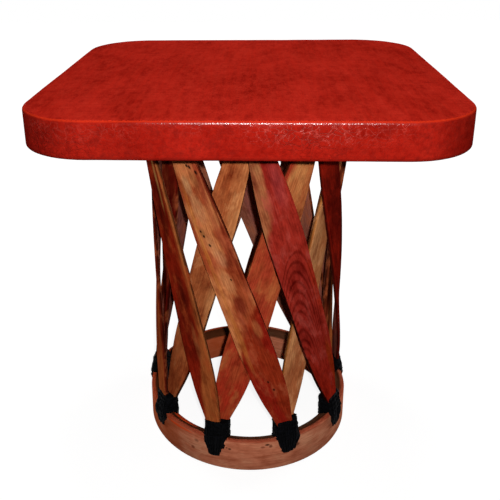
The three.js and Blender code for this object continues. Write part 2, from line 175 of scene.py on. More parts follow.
class BasketSettings(bpy.types.PropertyGroup):
    """The slats and hoops of the base"""
    arris: a_length("Arris", "Width of the worn edge of a slat", 1.4 * MM)
    step: a_length("Slat step", "Length of a slat's mesh step", 7 * MM)
    edge_wave: a_length("Edge wave", "How far a riven edge wanders", 0.7 * MM)
    face_wave: a_length("Face wave", "Depth of the knife's facets on a face", 0.35 * MM)
    hoop_steps: IntProperty(name="Hoop steps", description="Steps round a hoop", default=160, min=32)
    hoop_colour: a_colour("Hoop colour", "Colour of the bent hoops", "#ce7c5c")


class LacingSettings(bpy.types.PropertyGroup):
    """The lashings"""
    colour: a_colour("Lacing colour", "Colour of the dyed rawhide", "#050506")
    strand: a_length("Strand radius", "Radius of one lace", 1.5 * MM)
    lumps: a_length("Lumps", "How uneven the wound mass is", 2.2 * MM)


class StageSettings(bpy.types.PropertyGroup):
    """Floor and lamps"""
    flash: a_power("Front lamp", "Power of the lamp beside the camera", 17.5)
    overhead: a_power("Overhead lamp", "Power of the wide lamp above", 21.0)
    back: a_power("Back lamps", "Power of each wide lamp behind", 52.0)
    ambient: FloatProperty(name="Room light", description="Light from all round", default=0.015, min=0)
    floor_colour: a_colour("Floor colour", "Colour of the floor", "#f6f6f5")
    bounce_colour: a_colour("Bounce colour", "Colour of the light that the floor throws back", "#454341")


SETTINGS = {
    "equipale_hide": HideSettings,
    "equipale_basket": BasketSettings,
    "equipale_lacing": LacingSettings,
    "equipale_stage": StageSettings,
}


# Work on meshes

def put(name, data):
    """A new object with a mesh, curve, lamp or camera of its own."""
    thing = bpy.data.objects.new(name, data)
    bpy.context.scene.collection.objects.link(thing)
    return thing


def deselect():
    if bpy.context.object and bpy.context.object.mode != "OBJECT":
        bpy.ops.object.mode_set(mode="OBJECT")
    bpy.ops.object.select_all(action="DESELECT")


def choose(*pieces):
    """Select only these pieces, the first of them active."""
    deselect()
    for piece in pieces:
        piece.select_set(True)
    bpy.context.view_layer.objects.active = pieces[0]


def join(*pieces):
    """Make several pieces one, the first of them."""
    choose(*pieces)
    bpy.ops.object.join()
    return pieces[0]


def start(add_primitive, scale=(1, 1, 1), **values):
    """A new primitive with its place, turn and size in its mesh."""
    deselect()
    add_primitive(**values)
    piece = bpy.context.object
    piece.scale = scale
    bpy.ops.object.transform_apply(location=True, rotation=True, scale=True)
    return piece


def edit(piece, kind="FACE", action="DESELECT"):
    """Open a piece in edit mode with nothing or all of it selected."""
    choose(piece)
    bpy.ops.object.mode_set(mode="EDIT")
    bpy.ops.mesh.select_mode(type=kind)
    bpy.ops.mesh.select_all(action=action)


def pick(piece, kind, wanted):
    """Select the faces, edges or corners of a piece in edit mode that a test accepts."""
    work = bmesh.from_edit_mesh(piece.data)
    parts = {"FACE": work.faces, "EDGE": work.edges, "VERT": work.verts}[kind]
    bpy.ops.mesh.select_mode(type=kind)
    bpy.ops.mesh.select_all(action="DESELECT")
    for part in parts:
        part.select_set(bool(wanted(part)))
    work.select_flush_mode()
    bmesh.update_edit_mesh(piece.data)


def level_at(height):
    """A test for edges and faces that lie at one height."""
    return lambda part: all(abs(vert.co.z - height) < NEAR for vert in part.verts)


def longer_than(length, axis):
    """A test for edges that reach further than a length along an axis."""
    return lambda edge: abs(edge.verts[0].co[axis] - edge.verts[1].co[axis]) > length


def turn_outward(piece, merge=False):
    """Turn a piece's faces outward, where asked after its doubles are merged."""
    edit(piece, "VERT", "SELECT")
    if merge:
        bpy.ops.mesh.remove_doubles(threshold=SAME_PLACE)
    bpy.ops.mesh.normals_make_consistent(inside=False)


def finish_mesh(piece, angle):
    """Put a piece's place into its mesh and smooth its edges under an angle."""
    choose(piece)
    bpy.ops.object.transform_apply(location=True, rotation=True, scale=True)
    bpy.ops.object.shade_smooth_by_angle(angle=radians(angle))
    deselect()


def dress(piece, name, material, slot, *nodes):
    """Name a piece, give it its finish and let it stand for its CAD nodes."""
    piece.name = name
    piece.data.name = name
    piece.data.materials.clear()
    piece.data.materials.append(material)
    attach(piece, "root")
    if nodes:
        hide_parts(*nodes)


def apply_modifier(piece, kind, **values):
    choose(piece)
    modifier = piece.modifiers.new(kind.title(), kind)
    for key, value in values.items():
        setattr(modifier, key, value)
    bpy.ops.object.modifier_apply(modifier=modifier.name)


def facing(piece):
    """The corners of a piece, each with the way that it faces before any of them is moved."""
    return [(vert, vert.normal.copy()) for vert in piece.data.vertices]


def write_attribute(piece, name, vectors, domain="POINT"):
    attribute = piece.data.attributes.new(name, "FLOAT_VECTOR", domain)
    attribute.data.foreach_set("vector", [value for vector in vectors for value in vector])


# Materials

CLAMPED = {"operation": "MULTIPLY", "use_clamp": True}
MULTIPLY_ADD = {"operation": "MULTIPLY_ADD"}
SMOOTH = {"interpolation_type": "SMOOTHSTEP"}


def fill(socket, value):
    """Give a socket a value, or link it to an output, or to the first output that a node shows."""
    if isinstance(value, bpy.types.Node):
        value = next(output for output in value.outputs if output.enabled)
    if isinstance(value, bpy.types.NodeSocket):
        socket.id_data.links.new(value, socket)
    else:
        socket.default_value = value


def add(tree, kind, *inputs, **values):
    """Add one node. The inputs fill the sockets that it shows, in their order. Of the named values, those in
    small letters are settings, and those with capitals fill the sockets of that name."""
    node = tree.nodes.new("ShaderNode" + kind)
    for key, value in values.items():
        if key.islower():
            setattr(node, key, value)
    for socket, value in zip([socket for socket in node.inputs if socket.enabled], inputs):
        fill(socket, value)
    for key, value in values.items():
        if not key.islower():
            fill(node.inputs[key.replace("_", " ")], value)
    return node


def seen(tree):
    """1 for rays that show a thing, straight or in another one, and 0 for the light that it throws."""
    rays = add(tree, "LightPath").outputs
    eye = add(tree, "Math", rays["Is Camera Ray"], rays["Is Glossy Ray"], operation="MAXIMUM")
    return add(tree, "Math", eye, rays["Is Transmission Ray"], operation="MAXIMUM")


class Finish:
    """A material in the making: its nodes, its surface and the colour that has been laid on so far."""

    def __init__(self, name, colour, **sockets):
        self.material = bpy.data.materials.new(name)
        self.material.use_nodes = True
        self.tree = self.material.node_tree
        self.tree.nodes.clear()
        self.shader = add(self.tree, "BsdfPrincipled", **sockets)
        self.end = add(self.tree, "OutputMaterial", self.shader)
        self.add = partial(add, self.tree)
        self.colour = colour

    def drawn(self, place, stretch, scale, detail=3, roughness=0.5, shift=(0, 0, 0)):
        """Uneven noise, scale times per metre, drawn out along each axis where stretch is under 1."""
        place = self.add("Mapping", place, Location=shift, Scale=stretch)
        return self.add("TexNoise", place, Scale=scale, Detail=detail, Roughness=roughness)

    def away(self, place, middle, half_size):
        """How far a place is from a middle, as a share of the half size."""
        place = self.add("Mapping", place, Location=middle, Scale=half_size, vector_type="TEXTURE")
        return self.add("VectorMath", place, operation="LENGTH")

    def lay(self, tone, pattern, start=0, stop=1, strength=1, mask=None, blend="MIX", **ramp):
        """Lay on a tone where a pattern passes from start to stop and a mask lets it, at most by strength."""
        share = self.add("MapRange", pattern, start, stop, 0, strength, **ramp)
        if mask is not None:
            share = self.add("Math", share, mask, **CLAMPED)
        tone = linear(tone) if isinstance(tone, str) else tone
        self.colour = self.add("Mix", share, self.colour, tone, data_type="RGBA", blend_type=blend)

    def darken(self, tone, *ramp, **values):
        """Lay on a tone as a glaze, which the colour under it darkens."""
        self.lay(tone, *ramp, blend="MULTIPLY", **values)

    def spot(self, place, wobble, across, up, width, height, tone, strength):
        """Lay on a spot with a soft, uneven border. Its place and half sizes are in millimetres."""
        away = self.away(place, (across * MM, up * MM, 0), (width * MM, height * MM, 1))
        away = self.add("Math", wobble, 1.2, away, **MULTIPLY_ADD)
        self.lay(tone, away, 1.1, 0.45, strength, **SMOOTH)

    def done(self, relief=(), **sockets):
        """Raise patterns, given with their strength and depth, and link them, the colour and the rest."""
        raised = {}
        for pattern, strength, depth in relief:
            raised = {"Normal": self.add("Bump", Strength=strength, Distance=depth, Height=pattern, **raised)}
        for key, value in {"Base_Color": self.colour, **raised, **sockets}.items():
            fill(self.shader.inputs[key.replace("_", " ")], value)
        return self.material


def hide_material(settings):
    """Pigskin, drum dyed red and waxed: fine pores, cloudy dye, creases where it turns down the apron."""
    hide = Finish("waxed_pigskin", linear("#8b130b"), IOR=1.5)
    place = hide.add("TexCoord").outputs["Object"]
    side_x, side_y, height = hide.add("SeparateXYZ", place).outputs
    normal = hide.add("SeparateXYZ", hide.add("NewGeometry").outputs["Normal"]).outputs["Z"]

    # clouds of dye about 65 mm and 11 mm across, and faint streaks left across the top by the rubbing cloth
    clouds = hide.drawn(place, (1, 0.42, 1), 15, 4, 0.6)
    flecks = hide.drawn(place, (1, 0.42, 1), 90, 6, 0.75)
    streaks = hide.drawn(place, (0.06, 1, 0.9), 190, 3, 0.6)
    crossed = hide.drawn(place, (1, 0.05, 0.9), 170, 3, 0.6)
    hide.lay(settings.colour, clouds, 0.36, 0.62)
    hide.lay("#c43424", flecks, 0.4, 0.68, 0.42)
    hide.lay("#6a120c", flecks, 0.5, 0.28, 0.36)
    hide.lay("#700c06", streaks, 0.42, 0.66, 0.2)
    hide.lay("#b02014", crossed, 0.42, 0.66, 0.4)

    # a painted highlight, lighter orange red along the rounded edge where the hide turns down, and darker
    # towards the lowest 6 mm, where it folds under into the hem
    hide.lay(settings.edge_highlight_colour, normal, 0.3, 0.75, 0.7, mask=hide.add("MapRange", normal, 0.998, 0.9))
    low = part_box(COVER)[0].z
    hide.lay("#3c0a07", height, low + 6 * MM, low, 0.75)

    # creases 7 mm apart up the apron and 12 mm along it, thickest in patches; the whole apron is painted
    # darker than the top, as painted shade
    apron = hide.add("MapRange", normal, 0.8, 0.3)
    hide.darken("#e2cec8", apron)
    warp = hide.add("TexNoise", place, Scale=45, Detail=3).outputs["Color"]
    bent = hide.add("VectorMath", warp, (0.03, 0.03, 0.03), place, **MULTIPLY_ADD)
    bent = hide.add("Mapping", bent, Scale=(0.55, 0.55, 1))
    cells = hide.add("TexVoronoi", bent, Scale=150, feature="DISTANCE_TO_EDGE")
    crease = hide.add("MapRange", cells, 0.1, 0)
    patch = hide.add("TexNoise", place, Scale=8, Detail=3)
    patch = hide.add("MapRange", patch, 0.46, 0.66, 0.1, 0.7)
    thick = hide.away(place, (0.09, -0.35, 0.74), (0.12, 0.2, 0.06))
    thick = hide.add("MapRange", thick, 1, 0.3, 0, 0.9, **SMOOTH)
    patch = hide.add("Math", patch, thick, operation="MAXIMUM")
    for mask in (patch, hide.add("MapRange", normal, 0.3, 0.04)):
        crease = hide.add("Math", crease, mask, **CLAMPED)
    # painted highlight: pale pink lines along the creases on the upper apron, where they glint
    crease_glints = hide.add("MapRange", height, low + 15 * MM, low + 50 * MM, 0, 0.9)
    crease_glints = hide.add("Math", crease_glints, crease, **CLAMPED)
    hide.lay("#cc5c50", crease_glints, strength=0.45)

    # the grain stands out on the apron, where the hide was stretched least
    grain = hide.add("TexNoise", place, Scale=260, Detail=4, Roughness=0.65)
    coarse = hide.add("TexNoise", place, Scale=70, Detail=5, Roughness=0.7)
    for pattern, strength in ((grain, 0.5), (coarse, 0.65)):
        hide.lay("#74140e", pattern, 0.5, 0.34, strength, mask=apron)

    # the wax is polished along the middle of each side, where arms rest, and on the glinting creases below it
    side_x = hide.add("Math", side_x, 0.05, operation="SUBTRACT")
    sides = [hide.add("Math", side, operation="ABSOLUTE") for side in (side_x, side_y)]
    rest = hide.add("MapRange", hide.add("Math", *sides, operation="MINIMUM"), 0.26, 0.06, 0, 0.42, **SMOOTH)
    upper = hide.add("MapRange", normal, 0.02, 0.16, **SMOOTH)
    upper = hide.add("Math", upper, hide.add("MapRange", normal, 0.75, 0.5), **CLAMPED)
    crease_glints = hide.add("Math", crease_glints, 0.4, **CLAMPED)
    polish = hide.add("Math", upper, crease_glints, operation="MAXIMUM")
    shine = hide.add("Math", polish, rest, **CLAMPED)

    # pores about 1 mm apart, drawn at 2 mm so that they show
    pores = hide.add("TexVoronoi", place, Scale=520)
    rough = hide.add("MapRange", flecks, 0.3, 0.7, 0.17, 0.3)
    dented = hide.add("Math", 1, crease, operation="SUBTRACT")
    return hide.done([(pores, 0.35, 0.6 * MM), (grain, 0.4, 0.6 * MM), (dented, 1, 0.8 * MM)],
                     Roughness=rough, Specular_IOR_Level=shine)


# How each slat was cut from its log: heartwood and sapwood tones, the side that the sapwood is on (-1 left,
# 1 right, 0 none), where their border lies at the foot and at the head as a share of the half width, between
# which shares of the length it crosses over, the tone the foot has darkened to and how far up, the middle
# of the growth rings (mm across, share of the length) and how strong they are, the arches in them (mm across,
# mm up, tilt), the tones of worn wood and patches, the tones of the narrow edges with painted light and shade
# in them, the stains (mm across, mm up, half width, half height, tone, strength) and the knots (mm across,
# mm up, mm wide).
PLAIN_LOOK = dict(
    heart=DEEP_RED, sap=ORANGE, side=0, border=(0.5, 0.5), between=(0, 1), low=MAROON, low_reach=0.2,
    rings=(-160, 0.4), ring_depth=0.16, arches=None, worn="#a55430", patch="#7a2c18", patched=0.6,
    left_edge_light_and_shade="#5c2412", right_edge_light_and_shade=MAROON, stains=(), knots=())
LOOKS = {
    "outer_slat_1": dict(
        heart="#86200f", sap="#a2552a", side=1, border=(-0.6, 0.62), between=(0.06, 0.36), low="#a05428",
        low_reach=0.12, rings=(-60, 0.3), patch="#54150a", worn="#a04420", right_edge_light_and_shade="#9a5a30",
        stains=(
            (10, 540, 6, 70, "#b08048", 0.7), (-6, 420, 9, 60, "#4a1208", 0.6),
            (2, 300, 8, 40, "#3e1008", 0.5), (8, 200, 7, 50, "#9c5c34", 0.5))),
    "outer_slat_2": dict(
        heart="#c47848", sap="#8c1e12", side=1, border=(-1, 1.3), between=(0.28, 0.56), low="#8c2014",
        low_reach=0.1, rings=(-120, 0.7), patch="#903218", patched=0.8, worn="#a85234", left_edge_light_and_shade="#c8742e",
        right_edge_light_and_shade="#5c1a0e",
        stains=(
            (4, 306, 11, 24, "#702416", 0.75), (-4, 262, 7, 34, "#84301c", 0.6),
            (9, 232, 8, 24, "#7c2a18", 0.6), (17, 255, 9, 22, "#b06a3c", 0.5),
            (-2, 356, 12, 26, "#bd7c50", 0.6), (10, 560, 12, 20, "#86502e", 0.5),
            (-10, 545, 9, 22, "#c89868", 0.6), (-3, 500, 14, 34, "#c08a5c", 0.6),
            (-4, 430, 12, 30, "#c08458", 0.5), (20, 560, 6, 60, "#8c2c1c", 0.6),
            (2, 405, 13, 24, "#c58a62", 0.5), (28, 540, 5, 80, "#6e2012", 0.85),
            (28, 430, 5, 90, "#6e2012", 0.85), (-14, 452, 7, 16, "#76502a", 0.6),
            (17, 480, 9, 110, "#96402a", 0.5), (-20, 400, 6, 160, "#b8702f", 0.5),
            (-20, 230, 7, 90, "#a8602c", 0.7)),
        knots=(
            (8.6, 583, 5), (4, 585, 4), (18, 575, 5), (-16, 455, 3.4), (-13, 446, 4), (-8, 429, 4.6),
            (6, 361, 2.4), (-1, 134, 3), (4, 115, 3.4))),
    "outer_slat_3": dict(
        heart="#9a2b20", sap="#b07a4c", side=-1, border=(-1.15, -0.4), between=(0.6, 0.76), low="#94200f",
        low_reach=0.4, ring_depth=0.2, arches=(14, 420, 0.2), patch="#84201a", patched=0.5, worn="#aa443a",
        left_edge_light_and_shade="#200b06", right_edge_light_and_shade="#360d07",
        stains=(
            # the first stain, pinkish and high on the slat's right, is a painted sheen
            (14, 555, 14, 60, "#953c3e", 0.4), (-25, 580, 4, 50, "#6e2a1c", 0.6),
            (30, 330, 8, 90, "#a83018", 0.5), (24, 130, 9, 80, "#93350f", 0.6))),
    "outer_slat_4": dict(
        heart="#70150b", sap="#5c1109", side=1, border=(0.7, 0.2), low="#6a170a", low_reach=0.3,
        rings=(80, 0.5), patch="#460c06", worn="#88190c", left_edge_light_and_shade="#76170c"),
    "outer_slat_5": dict(side=-1, border=(-0.2, -0.4)),
    "outer_slat_6": dict(heart=BROWN, sap=TAN_SAP, side=1, border=(0.2, 0.5)),
    "outer_slat_7": dict(sap=TAN_SAP, side=-1, border=(-0.7, -0.1)),
    "outer_slat_8": dict(heart=MAROON, side=1, border=(0.9, 0.6)),
    "outer_slat_9": dict(
        heart="#7c2210", sap="#93451f", side=1, border=(-0.1, 0.6), low="#a0522a", low_reach=0.4,
        left_edge_light_and_shade="#8a3216"),
    "inner_slat_1": dict(
        heart="#a63d26", sap="#c4824c", side=1, border=(1.6, -0.6), between=(0.42, 0.82), low="#a02a18",
        low_reach=0.5, rings=(-90, 0.6), patch="#a04a28", worn="#b06236", left_edge_light_and_shade="#45200f"),
    "inner_slat_2": dict(
        heart="#b87648", sap="#c88a58", side=-1, border=(-0.4, 0.2), low="#c87c4c", rings=(60, 0.4),
        patch="#a0502e", worn="#cc8e60", left_edge_light_and_shade="#a8662e", right_edge_light_and_shade="#6a4020"),
    "inner_slat_3": dict(heart=BROWN, side=1, border=(0.3, 0.1)),
    "inner_slat_4": dict(heart=TAN_SAP, side=-1, border=(0, -0.4)),
    "inner_slat_5": dict(sap=TAN_SAP, side=1, border=(0.1, 0.5)),
    "inner_slat_6": dict(heart=ORANGE, sap="#b57f47", side=-1, border=(-0.5, 0.2)),
    "inner_slat_7": dict(heart=BROWN, side=1, border=(0.6, 0)),
    "inner_slat_8": dict(heart="#6a170d", sap=DEEP_RED, side=-1, border=(-0.6, -0.8)),
    "inner_slat_9": dict(
        heart="#ac6036", sap="#b87445", side=1, border=(1.2, -0.1), low="#b0542c", low_reach=0.4,
        rings=(-140, 0.5), patch="#984a26", worn="#c48656", left_edge_light_and_shade="#200e07", right_edge_light_and_shade="#5e2c16"),
}


def arched_rings(cedar, grain, along, wander, rings, look):
    """Where the knife ran along the log's middle, rings open into arches 22 mm apart, one below another."""
    across, up, tilt = look["arches"]
    middle = Matrix.Rotation(tilt, 3, "Z") @ Vector((across, up, 0)) * -MM
    turned = cedar.add("Mapping", grain, middle, (0, 0, tilt))
    sideways, upward, _ = cedar.add("SeparateXYZ", turned).outputs
    sideways = cedar.add("Math", wander, 0.01, sideways, **MULTIPLY_ADD)
    square = cedar.add("Math", sideways, sideways, operation="MULTIPLY")
    rise = cedar.add("Math", square, 75, upward, **MULTIPLY_ADD)
    arches = cedar.add("TexWave", cedar.add("CombineXYZ", rise, sideways), bands_direction="X", Scale=14,
                       Distortion=2.6, Detail=2, Detail_Scale=1.3).outputs["Fac"]
    mask = cedar.add("MapRange", rise, 0.006, 0, **SMOOTH)
    mask = cedar.add("Math", mask, cedar.add("MapRange", along, 0.1, 0.3, 0.2, 1), **CLAMPED)
    deep = cedar.add("Math", mask, 0.4, look["ring_depth"], **MULTIPLY_ADD)
    return cedar.add("Mix", mask, rings, arches), deep


def cedar_material(name, look, seed):
    """Red cedar, riven along the grain, shaved with a knife and oiled: red heart and tan sapwood with a soft
    border, growth rings that open into arches, dark oil stains, and darker narrow edges."""
    cedar = Finish(name + "_cedar", linear(look["heart"]), IOR=1.5, Specular_IOR_Level=0)
    grain = cedar.add("Attribute", attribute_name="grain").outputs["Vector"]
    share = cedar.add("Attribute", attribute_name="share").outputs["Vector"]
    own = cedar.add("VectorMath", grain, (seed * 0.37, seed * 1.3, seed * 0.11), operation="ADD")
    across, along, out = cedar.add("SeparateXYZ", share).outputs

    # the grain wanders sideways by about 5 mm over 150 mm
    wander = cedar.drawn(own, (1, 0.22, 1), 26, 3, 0.55)
    wander = cedar.add("Math", wander, 0.5, operation="SUBTRACT")

    # growth rings 4 mm apart, seen as long arches round the middle of the log
    ring_across, ring_along = look["rings"]
    squeeze = 0.055
    shift = cedar.add("Mapping", grain, (-ring_across * MM, -ring_along * SLAT_LENGTH * squeeze, 0),
                      Scale=(1, squeeze, 0.6))
    bend = cedar.add("CombineXYZ", cedar.add("Math", wander, 0.02, operation="MULTIPLY"))
    shift = cedar.add("VectorMath", shift, bend, operation="ADD")
    rings = cedar.add("TexWave", shift, wave_type="RINGS", rings_direction="SPHERICAL", Scale=72,
                      Distortion=2.2, Detail=3, Detail_Scale=0.5).outputs["Fac"]
    deep = look["ring_depth"]
    if look["arches"]:
        rings, deep = arched_rings(cedar, grain, along, wander, rings, look)
    fibre = cedar.drawn(own, (1, 0.03, 1), 620, 3, 0.6)
    blotch = cedar.drawn(own, (1, 0.45, 1), 42, 5, 0.65)

    # heart and sapwood with their border, and the darkened foot
    if look["side"]:
        border = cedar.add("MapRange", along, *look["between"], *look["border"])
        loose = cedar.add("Math", wander, 1.1, across, **MULTIPLY_ADD)
        over = cedar.add("Math", loose, border, operation="SUBTRACT")
        soft = 0.16 * look["side"]
        cedar.lay(look["sap"], over, -soft, soft, **SMOOTH)
    cloud = cedar.add("Math", wander, 0.35, along, **MULTIPLY_ADD)
    cedar.lay(look["low"], cloud, look["low_reach"], 0.02, 0.9, **SMOOTH)
    patch = cedar.drawn(own, (1, 0.4, 1), 19, 4, 0.6, shift=(3, 1, 0))
    cedar.lay(look["patch"], patch, 0.46, 0.6, look["patched"], **SMOOTH)
    for stain in look["stains"]:
        cedar.spot(grain, wander, *stain)

    # the face towards the inside was never oiled and has greyed; the narrow edges have their own tones with
    # painted light and shade in them, and painted shade darkens them towards the inner face
    cedar.lay("#925a4e", out, -0.6, -0.9, 0.75)
    # painted shade: the narrow edges darken to near black towards the inner face
    painted_edge_shade = cedar.add("MapRange", out, 0.55, -0.3, 0, 0.9)
    # each narrow edge gets its tone with painted light and shade in it: light arris lines on some slats,
    # shaded thickness faces on others
    for end, tone in ((-1, look["left_edge_light_and_shade"]), (1, look["right_edge_light_and_shade"])):
        edge = cedar.add("MapRange", across, 0.93 * end, 0.98 * end, 0, 0.9)
        cedar.lay(tone, edge)
        cedar.lay("#260e07", painted_edge_shade, mask=edge)

    # late wood is redder and darker than early wood, fibres vary a little, and the oil sank in unevenly
    cedar.darken("#9a5a4a", rings, 0.45, mask=deep)
    cedar.darken("#a57563", fibre, 0.38, 0.65, 0.35)
    cedar.darken("#9c4838", blotch, 0.52, 0.72, 0.75)
    cedar.lay(look["worn"], blotch, 0.48, 0.34, 0.6)
    mottle = cedar.drawn(own, (1, 0.3, 1), 150, 5, 0.7)
    mottle = cedar.add("MapRange", mottle, 0.3, 0.7, 0.76, 1.26)
    cedar.colour = cedar.add("VectorMath", cedar.colour, mottle, operation="SCALE")
    for knot_across, knot_up, width in look["knots"]:
        cedar.spot(grain, wander, knot_across, knot_up, width * 0.75, width * 1.1, "#160b07", 0.95)

    rough = cedar.add("MapRange", blotch, 0.3, 0.7, 0.58, 0.42)
    return cedar.done([(fibre, 0.6, 0.5 * MM), (rings, 0.25, 0.4 * MM), (blotch, 0.5, 1.5 * MM)],
                      Roughness=rough)


# Marks on the floor hoop's wall: a fresh red scrape under the rim, front left, and dark dents (mm round from
# the front, mm up, half width, half height, tone, strength)
HOOP_MARKS = (
    (-150, 63, 46, 3.5, "#d2451c", 0.85), (-31, 49, 4, 3, "#2a1510", 0.85), (-37, 51, 3, 2.5, "#3a1c14", 0.7),
    (43, 60, 5, 3, "#2a120c", 0.85), (50, 56, 4, 4, "#5a2416", 0.7), (34, 55, 5, 3, "#6a2c1c", 0.6),
    (-110, 30, 5, 4, "#6a2412", 0.7), (80, 34, 6, 3, "#8a3a20", 0.6))


def hoop_material(settings):
    """Steam-bent hardwood sapling, scraped: pinkish brown, long streaks round the hoop, small knots, a red
    band along the rounded top and a very dark olive bevel inside."""
    hoop = Finish("bent_hoop_wood", settings.hoop_colour, Roughness=0.52, IOR=1.5, Specular_IOR_Level=0)
    grain = hoop.add("Attribute", attribute_name="grain").outputs["Vector"]
    share = hoop.add("Attribute", attribute_name="share").outputs["Vector"]
    turn, height, out = hoop.add("SeparateXYZ", share).outputs
    streaks = hoop.drawn(grain, (0.12, 1, 1), 160, 5, 0.65)
    clouds = hoop.drawn(grain, (0.6, 1, 1), 30, 5, 0.65)
    fine = hoop.drawn(grain, (0.05, 1, 1), 700)
    hoop.lay("#9a4426", streaks, 0.45, 0.72, 0.45)
    hoop.lay("#da9672", clouds, 0.48, 0.66, 0.8)
    hoop.lay("#9a4427", clouds, 0.46, 0.28, 0.6)
    hoop.darken("#a08070", fine, 0.4, 0.65, 0.35)

    # the left of the hoop is redder heartwood, fading out again at the back
    loose = hoop.add("Math", clouds, 0.12, turn, **MULTIPLY_ADD)
    front = hoop.add("MapRange", loose, -0.85, -0.55, **SMOOTH)
    hoop.lay("#b04a20", loose, 0.02, -0.14, 0.75, mask=front, **SMOOTH)

    # red along the rounded top, and the bevel inside made very dark
    wavy = hoop.add("Math", streaks, 0.12, height, **MULTIPLY_ADD)
    hoop.lay("#842814", wavy, 0.975, 1.04, 0.7, **SMOOTH)
    hoop.lay("#1e170a", out, 0.78, 0.6, 0.85, mask=hoop.add("MapRange", height, 0.8, 0.86), **SMOOTH)

    wall = hoop.add("Mapping", grain, Scale=(1, 1, 0))
    wobble = hoop.add("Math", streaks, 0.5, operation="SUBTRACT")
    for mark in HOOP_MARKS:
        hoop.spot(wall, wobble, *mark)

    # small dead knots
    spots = hoop.add("TexVoronoi", hoop.add("Mapping", grain, Scale=(0.7, 1, 1)), Scale=22)
    hoop.lay("#3a1c12", spots, 0.12, 0.05, 0.75)
    return hoop.done([(fine, 0.6, 0.5 * MM), (streaks, 0.5, 1.2 * MM)])


def lacing_material(settings):
    """Rawhide lace, dyed black and wound on wet: it dries hard, with fine wrinkles and a faint cold sheen,
    painted into its colour as lighter bluish patches.
    """
    lace = Finish("dyed_rawhide", settings.colour, IOR=1.5, Specular_IOR_Level=0.015)
    place = lace.add("TexCoord").outputs["Object"]
    wear_and_sheen = lace.add("TexNoise", place, Scale=140, Detail=5, Roughness=0.7)
    # painted sheen: lighter bluish patches on the worn places, which are also smoother
    lace.lay("#121318", wear_and_sheen, 0.5, 0.75, 0.8)
    wrinkle = lace.add("TexNoise", place, Scale=500, Detail=4, Roughness=0.65)
    return lace.done([(wrinkle, 0.7, 0.8 * MM)], Roughness=lace.add("MapRange", wear_and_sheen, 0.3, 0.7, 0.62, 0.42))


def pine_material(name, lengthwise):
    """Planed pine, left raw: pale wood with honey late-wood lines 9 mm apart and a few resin streaks."""
    pine = Finish(name, linear("#d9b27c"), Roughness=0.68, IOR=1.45)
    place = pine.add("TexCoord").outputs["Object"]
    squeeze = [1, 1, 1]
    squeeze[lengthwise] = 0.04
    drawn = pine.add("Mapping", place, Scale=squeeze)
    bands = pine.add("TexWave", drawn, bands_direction="YX"[lengthwise], Scale=34, Distortion=6, Detail=3,
                     Detail_Scale=1.2).outputs["Fac"]
    fibre = pine.add("TexNoise", drawn, Scale=500, Detail=3)
    clouds = pine.add("TexNoise", place, Scale=9, Detail=3)
    pine.lay("#b07f45", bands, 0.55, 1, 0.8)
    pine.darken("#c9a071", fibre, 0.4, 0.65, 0.4)
    pine.darken("#c49b6c", clouds, 0.45, 0.7, 0.5)
    return pine.done([(fibre, 0.5, 0.4 * MM), (bands, 0.4, 0.6 * MM)])


def tack_material():
    """Blued steel tacks, hammered: dark grey heads with brighter high spots."""
    steel = Finish("blued_steel", linear("#3b3a3a"), Metallic=1, Roughness=0.4)
    marks = steel.add("TexNoise", steel.add("TexCoord").outputs["Object"], Scale=900, Detail=2)
    steel.lay("#8b8883", marks)
    return steel.done([(marks, 0.5, 0.3 * MM)])


# Operators

class EQUIPALE_OT_stage(bpy.types.Operator):
    """Floor, lamps, room light and the camera at the photograph's angle"""
    bl_idname = "equipale.stage"
    bl_label = "Stage"

    def execute(self, context):
        settings = context.scene.equipale_stage
        context.scene.view_settings.view_transform = "Standard"
        self.lay_floor(settings)
        self.light_room(context, settings)
        self.hang_lamps(settings)
        self.set_camera(context)
        return {"FINISHED"}

    def lay_floor(self, settings):
        """A matt floor that shows as white as the photograph's, and throws less light back than it shows."""
        floor = start(bpy.ops.mesh.primitive_plane_add, size=12)
        floor.name = "floor"
        ground = Finish("pale_floor", settings.bounce_colour, Roughness=0.9, Specular_IOR_Level=0)
        eye = seen(ground.tree)
        ground.lay(settings.floor_colour, eye)
        away = ground.add("VectorMath", ground.add("TexCoord").outputs["Object"], operation="LENGTH")
        share = ground.add("Math", eye, ground.add("MapRange", away, 0.4, 1.3, 0.8, 1), operation="MULTIPLY")
        white = ground.add("Emission", Strength=1.09)
        fill(ground.end.inputs["Surface"], ground.add("MixShader", share, ground.shader, white))
        floor.data.materials.append(ground.done())

    def light_room(self, context, settings):
        """A white room that is seen in full and lights the table only a little."""
        world = bpy.data.worlds.new("room")
        context.scene.world = world
        world.use_nodes = True
        tree = world.node_tree
        tree.nodes.clear()
        strength = add(tree, "MapRange", seen(tree), 0, 1, settings.ambient, 1)
        add(tree, "OutputWorld", add(tree, "Background", (1, 1, 1, 1), strength))

    def hang_lamps(self, settings):
        target = Vector((0, 0, 0.45))
        lamps = (
            ("front_lamp", CAMERA_PLACE + Vector((0.034, 0, 0.03)), 0.02, settings.flash),
            ("overhead_lamp", Vector((0, 0.32, 2.35)), 1, settings.overhead),
            ("back_left_lamp", Vector((-2.1, 1.5, 0.65)), 1.2, settings.back),
            ("back_right_lamp", Vector((2.1, 1.5, 0.65)), 1.2, settings.back),
        )
        for name, place, size, power in lamps:
            light = bpy.data.lights.new(name, "AREA")
            light.shape = "DISK"
            light.size = size
            light.energy = power
            lamp = put(name, light)
            lamp.location = place
            lamp.rotation_euler = (target - place).to_track_quat("-Z", "Y").to_euler()

    def set_camera(self, context):
        lens = bpy.data.cameras.new("camera")
        lens.sensor_width = SENSOR_WIDTH
        lens.lens = LENS
        lens.shift_x = SHIFT_X
        lens.shift_y = SHIFT_Y
        camera = put("camera", lens)
        camera.matrix_world = Matrix.Translation(CAMERA_PLACE) @ Matrix.Rotation(-CAMERA_YAW, 4, "Z") \
            @ Matrix.Rotation(pi / 2 - CAMERA_PITCH, 4, "X") @ Matrix.Rotation(CAMERA_ROLL, 4, "Z")
        context.scene.camera = camera


